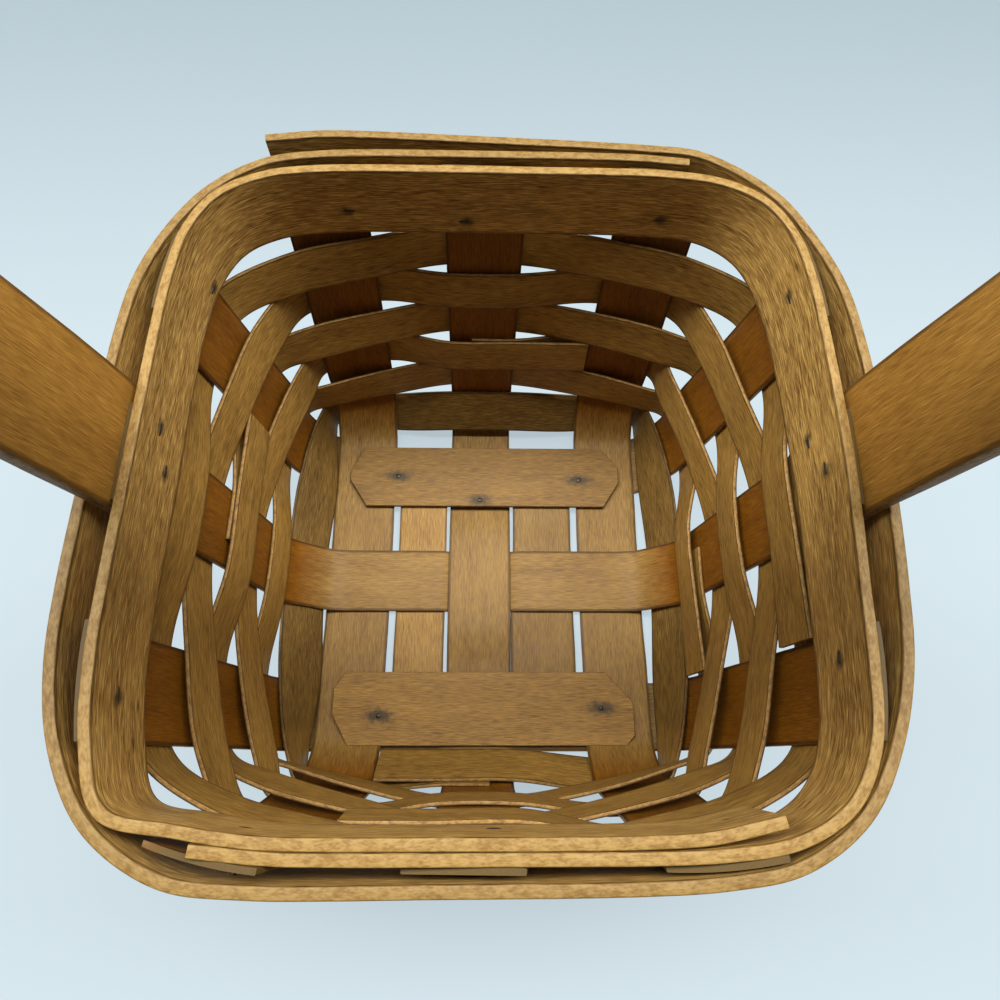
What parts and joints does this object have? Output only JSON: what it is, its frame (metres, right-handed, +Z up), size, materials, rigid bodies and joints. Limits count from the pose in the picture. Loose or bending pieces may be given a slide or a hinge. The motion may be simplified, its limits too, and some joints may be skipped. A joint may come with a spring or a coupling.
{
  "type": "peg basket",
  "caption": "Small square basket of flat woven splints with flared walls, lapped rim bands, nailed base cleats and a fixed bent handle to carry it or hang it on a peg",
  "frame": {"origin": "on the table plane, under the middle of the base, on the underside of the middle cross upright", "axes": "+Z up, +X along the handle's span to the right, +Y to the back wall, where the outer band is lapped"},
  "size_m": [0.157, 0.1505, 0.2277],
  "materials": {
    "upright_splint": "golden brown stained maple, satin",
    "weaver_splint": "golden brown stained maple, satin",
    "cleat_board": "tan stained maple, satin",
    "rim_band": "golden brown stained maple, pale end grain on the sawn edges",
    "bent_handle": "orange brown stained maple, satin",
    "nail_iron": "dull dark iron"
  },
  "bodies": {
    "root": {"upright_left": "upright_splint", "upright_centre": "upright_splint", "upright_right": "upright_splint", "cross_upright_front": "upright_splint", "cross_upright_middle": "upright_splint", "cross_upright_back": "upright_splint", "filler_left": "upright_splint", "filler_right": "upright_splint", "cleat_back": "cleat_board", "cleat_front": "cleat_board", "weaver_1": "weaver_splint", "weaver_2": "weaver_splint", "weaver_3": "weaver_splint", "weaver_4": "weaver_splint", "weaver_5": "weaver_splint", "weaver_6": "weaver_splint", "inner_band": "rim_band", "outer_band": "rim_band", "handle": "bent_handle", "rim_nail_01": "nail_iron", "rim_nail_02": "nail_iron", "rim_nail_03": "nail_iron", "rim_nail_04": "nail_iron", "rim_nail_05": "nail_iron", "rim_nail_06": "nail_iron", "rim_nail_07": "nail_iron", "rim_nail_08": "nail_iron", "rim_nail_09": "nail_iron", "rim_nail_10": "nail_iron", "rim_nail_11": "nail_iron", "rim_nail_12": "nail_iron", "rim_nail_13": "nail_iron", "rim_nail_14": "nail_iron", "base_nail_1": "nail_iron", "base_nail_2": "nail_iron", "base_nail_3": "nail_iron", "base_nail_4": "nail_iron", "base_nail_5": "nail_iron"}
  },
  "joints": []
}
